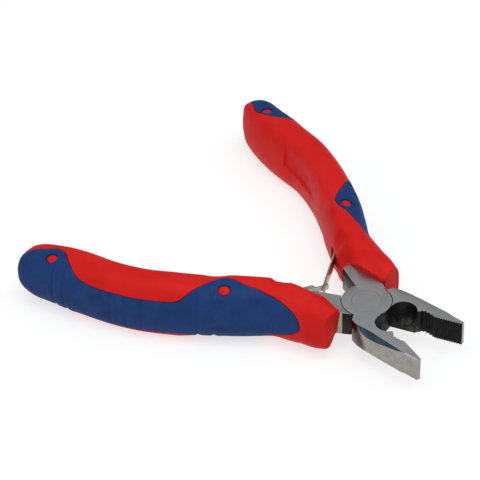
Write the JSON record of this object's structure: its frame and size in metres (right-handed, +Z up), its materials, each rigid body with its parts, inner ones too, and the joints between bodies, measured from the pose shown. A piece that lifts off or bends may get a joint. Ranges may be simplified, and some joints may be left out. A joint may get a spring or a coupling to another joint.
{
  "type": "crimping pliers",
  "caption": "Small spring-return hand pliers with a lap joint, serrated gripping jaws, a pipe grip, a side cutter and two-part moulded grips.",
  "frame": {"origin": "on the pivot axis, at the flat underside of the head", "axes": "+Z up along the pivot axis, +X from the pivot towards the jaw tips along the line that halves the open jaws, +Y towards the lower lever's jaw"},
  "size_m": [0.1043, 0.0958, 0.0176],
  "materials": {
    "steel": "satin forged and ground tool steel with darker jaw insides",
    "rivet_steel": "satin, ground flush with the boss",
    "spring_steel": "bright rolled spring strip",
    "red_plastic": "satin moulded plastic",
    "blue_rubber": "soft matte thermoplastic rubber"
  },
  "bodies": {
    "lower_half": {"lower_lever": "steel", "lower_grip_core": "red_plastic", "lower_grip_inlay": "blue_rubber", "lower_spring": "spring_steel", "lower_spring_rivet": "rivet_steel", "pivot_rivet": "rivet_steel"},
    "upper_half": {"upper_lever": "steel", "upper_grip_core": "red_plastic", "upper_grip_inlay": "blue_rubber", "upper_spring": "spring_steel", "upper_spring_rivet": "rivet_steel"}
  },
  "joints": [
    {"name": "pivot", "type": "hinge", "parent": "lower_half", "child": "upper_half", "pos_m": [0, 0, 0.0034], "axis": [0, 0, 1], "range_deg": [-3, 37.4], "stiffness_Nm_per_rad": 0.9, "deforming": ["lower_spring", "upper_spring"]}
  ]
}
